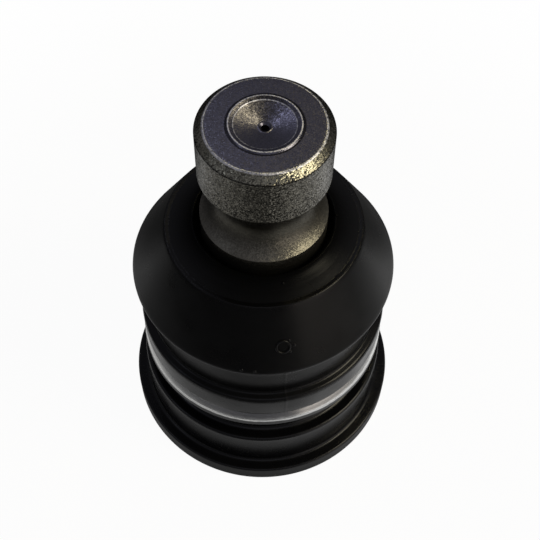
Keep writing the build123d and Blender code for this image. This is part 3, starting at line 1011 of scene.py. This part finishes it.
def makeFloor():
    look = floorLook
    reach = look["halfSize"]
    corners = [(-reach, -reach, 0), (reach, -reach, 0), (reach, reach, 0), (-reach, reach, 0)]
    floor = addObject("floor", corners, [(0, 1, 2, 3)])
    floor.location.z = -look["drop"]

    # White to the camera; in reflections it carries painted shade where the object keeps the light off it,
    # and painted light to the right
    material, tree = newMaterial("paleFloor")
    rays = addNode(tree, "LightPath").outputs
    mirrored = addNode(tree, "Math", {0: rays["Is Glossy Ray"], 1: rays["Is Transmission Ray"]},
                       operation="MAXIMUM")
    place = addNode(tree, "TexCoord").outputs["Object"]
    away = addNode(tree, "VectorMath", {0: place}, operation="LENGTH").outputs["Value"]
    apart = addNode(tree, "SeparateXYZ", {0: place}).outputs
    front = addNode(tree, "VectorMath", {0: place, 1: look["frontAt"]}, operation="DISTANCE")
    hollow = addNode(tree, "Math", {0: away, 1: look["hollowRadius"]}, operation="SUBTRACT")
    hollow = addNode(tree, "Math", {0: hollow}, operation="ABSOLUTE")
    measured = {
        "away": away,
        "hollow": hollow,
        "front": front.outputs["Value"],
        "x": apart["X"],
        "y": apart["Y"],
    }
    dim = 1.0
    for name, start, end, first, last in look["glow"]:
        level = addNode(tree, "MapRange", {
            "Value": measured[name], "From Min": start, "From Max": end, "To Min": first, "To Max": last},
            interpolation_type="SMOOTHSTEP")
        dim = addNode(tree, "Math", {0: dim, 1: level}, operation="MULTIPLY")
    strength = addNode(tree, "Mix", {"Factor": mirrored, "A": 1.0, "B": dim})
    start, end = look["cameraRange"]
    plain = addNode(tree, "MapRange", {
        "Value": away, "From Min": start, "From Max": end, "To Min": look["cameraShare"], "To Max": 1.0},
        interpolation_type="SMOOTHSTEP")
    share = addNode(tree, "Math", {0: rays["Is Camera Ray"], 1: plain}, operation="MULTIPLY")
    share = addNode(tree, "Math", {0: share, 1: mirrored}, operation="MAXIMUM")
    matt = addNode(tree, "BsdfDiffuse", {"Color": linear(look["matt"])})
    glow = addNode(tree, "Emission", {"Color": (1, 1, 1, 1), "Strength": strength})
    floorMix = addNode(tree, "MixShader", {0: share, 1: matt, 2: glow})
    under = addNode(tree, "NewGeometry").outputs["Backfacing"]    # clear from below, to show the underside
    clear = addNode(tree, "BsdfTransparent")
    floorMix = addNode(tree, "MixShader", {0: under, 1: floorMix, 2: clear})
    addNode(tree, "OutputMaterial", {"Surface": floorMix})
    floor.data.materials.append(material)


# Soft lamps have a size in metres; a lamp with a cone in degrees is a narrow beam on the stud's end face
lamps = [
    {"name": "window", "at": (0.47, -0.14, 0.48), "size": (0.28, 0.28), "watts": 2.15, "colour": "#fff5d8"},
    {"name": "wall", "at": (0.45, -0.37, 0.12), "size": (0.50, 0.22), "watts": 0.42, "colour": "#fff4ea"},
    {"name": "overhead", "at": (0.16, 0.27, 0.59), "cone": 6.0, "watts": 2.0, "colour": "#f6e8b4"},
    {"name": "rear", "at": (-0.11, 0.33, 0.57), "cone": 6.0, "watts": 0.48, "colour": "#e1e5fd"},
    {"name": "front", "at": (0.05, -0.55, 0.62), "size": (0.50, 0.30), "watts": 0.16, "colour": "#f2f4ff"},
    {"name": "side", "at": (-0.50, -0.20, 0.42), "size": (0.10, 0.10), "watts": 0.08, "colour": "#e6eeff"},
]
lampAim = {"soft": 0.04, "beam": studHigh.z * mm}    # heights on the object's axis
beamBlend = 0.5
beamRadius = 0.025


def makeLamps():
    for s in lamps:
        isBeam = "cone" in s
        data = bpy.data.lights.new(s["name"], "SPOT" if isBeam else "AREA")
        if isBeam:
            data.spot_size = math.radians(s["cone"])
            data.spot_blend = beamBlend
            data.shadow_soft_size = beamRadius
        else:
            data.shape = "RECTANGLE"
            data.size, data.size_y = s["size"]
        data.energy = s["watts"]
        data.color = linear(s["colour"])[:3]
        lamp = bpy.data.objects.new(s["name"], data)
        lamp.location = s["at"]
        aim = Vector((0, 0, lampAim["beam" if isBeam else "soft"])) - lamp.location
        lamp.rotation_euler = aim.to_track_quat("-Z", "Y").to_euler()
        bpy.context.scene.collection.objects.link(lamp)


studioLook = {
    "low": "#58585c",    # grey of the room at the horizon
    "high": "#82828b",
    "highAt": 0.75,    # height on a sphere of one metre, as is the crown
    "crown": (0.80, 0.96),    # dark patch straight above
    "crownShare": -0.25,
}


def makeWorld():
    look = studioLook
    world = bpy.data.worlds.new("studio")
    bpy.context.scene.world = world
    world.use_nodes = True
    tree = world.node_tree
    tree.nodes.clear()
    rays = addNode(tree, "LightPath").outputs
    up = addNode(tree, "SeparateXYZ", {0: addNode(tree, "TexCoord").outputs["Generated"]}).outputs["Z"]
    level = addNode(tree, "MapRange", {"Value": up, "From Min": 0.0, "From Max": look["highAt"]})
    crown = addNode(tree, "MapRange", {
        "Value": up, "From Min": look["crown"][0], "From Max": look["crown"][1],
        "To Min": 1.0, "To Max": look["crownShare"]}, interpolation_type="SMOOTHSTEP")
    level = addNode(tree, "Math", {0: level, 1: crown}, operation="MULTIPLY")
    shade = addNode(tree, "Mix", {"Factor": level, "A": linear(look["low"]), "B": linear(look["high"])},
                    data_type="RGBA", clamp_factor=False)
    room = addNode(tree, "Background", {"Color": shade.outputs["Result"], "Strength": 1.0})
    white = addNode(tree, "Background", {"Color": (1, 1, 1, 1), "Strength": 1.0})
    backdrop = addNode(tree, "MixShader", {0: rays["Is Camera Ray"], 1: room, 2: white})
    addNode(tree, "OutputWorld", {"Surface": backdrop})


makeCamera()
makeFloor()
makeLamps()
makeWorld()
bpy.context.scene.view_settings.view_transform = "Standard"
print("camera, floor and light placed")
